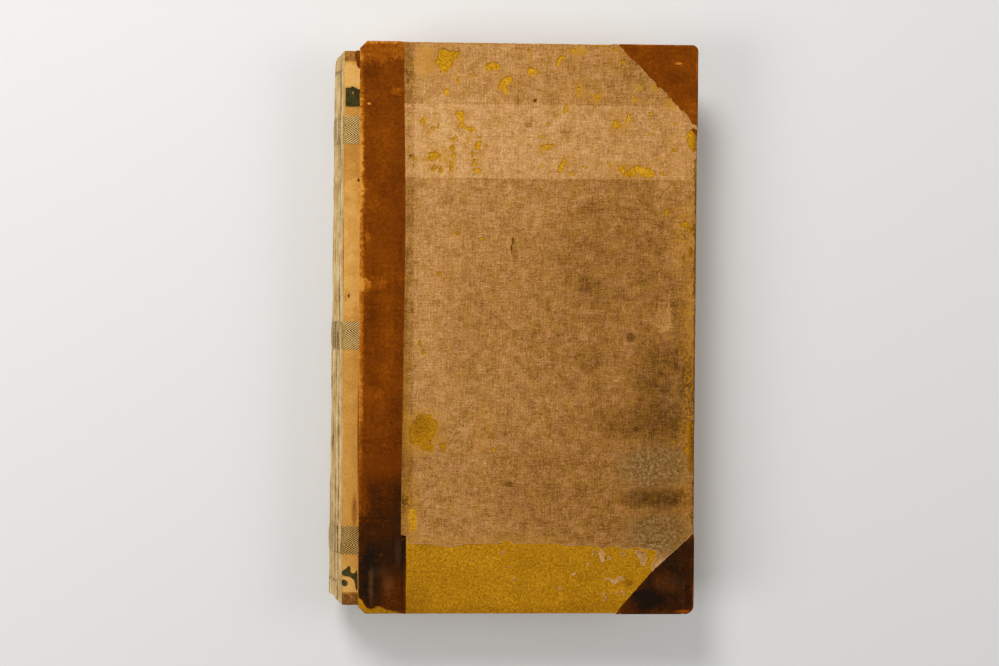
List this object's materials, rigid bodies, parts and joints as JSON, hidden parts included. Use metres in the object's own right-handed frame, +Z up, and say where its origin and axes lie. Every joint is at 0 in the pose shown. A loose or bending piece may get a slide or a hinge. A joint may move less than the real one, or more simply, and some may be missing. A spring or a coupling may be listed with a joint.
{
  "type": "half-leather ledger",
  "caption": "Closed antique account book in half leather and worn cloth, with its spine leather lost, bare sewn spine with woven tapes, and covers that open.",
  "frame": {"origin": "under the middle of the closed book, on the surface it lies on", "axes": "+X from the spine to the fore-edge, +Y to the head, +Z up through the front cover"},
  "size_m": [0.213, 0.33, 0.0403],
  "materials": {
    "leather": "worn suede-like calf, brown, darkened at the tail",
    "book_cloth": "faded linen-grain cloth, mottled and stained",
    "pasteboard": "yellow strawboard",
    "endpaper": "aged laid paper",
    "leaves": "edges of aged rag-paper leaves",
    "tape": "herringbone linen tape",
    "joint_paper": "tan paper strip",
    "leather_scrap": "torn red-brown leather",
    "green_lining": "dark green scraps of lining paper"
  },
  "bodies": {
    "text_block": {"leaves": "leaves", "tape_head": "tape", "tape_middle": "tape", "tape_tail": "tape", "front_joint_paper": "joint_paper", "back_joint_paper": "joint_paper", "spine_leather_scrap": "leather_scrap", "green_scrap_head": "green_lining", "green_scrap_tail": "green_lining"},
    "front_cover": {"front_board": "pasteboard", "front_spine_leather": "leather", "front_corner_head": "leather", "front_corner_tail": "leather", "front_siding": "book_cloth", "front_pastedown": "endpaper"},
    "back_cover": {"back_board": "pasteboard", "back_spine_leather": "leather", "back_corner_head": "leather", "back_corner_tail": "leather", "back_siding": "book_cloth", "back_pastedown": "endpaper"}
  },
  "joints": [
    {"name": "front_cover_hinge", "type": "hinge", "parent": "text_block", "child": "front_cover", "pos_m": [-0.09291, 0, 0.03877], "axis": [0, -1, 0], "range_deg": [0, 180]},
    {"name": "back_cover_hinge", "type": "hinge", "parent": "text_block", "child": "back_cover", "pos_m": [-0.09291, 0, 0.00153], "axis": [0, 1, 0], "range_deg": [0, 180]}
  ]
}
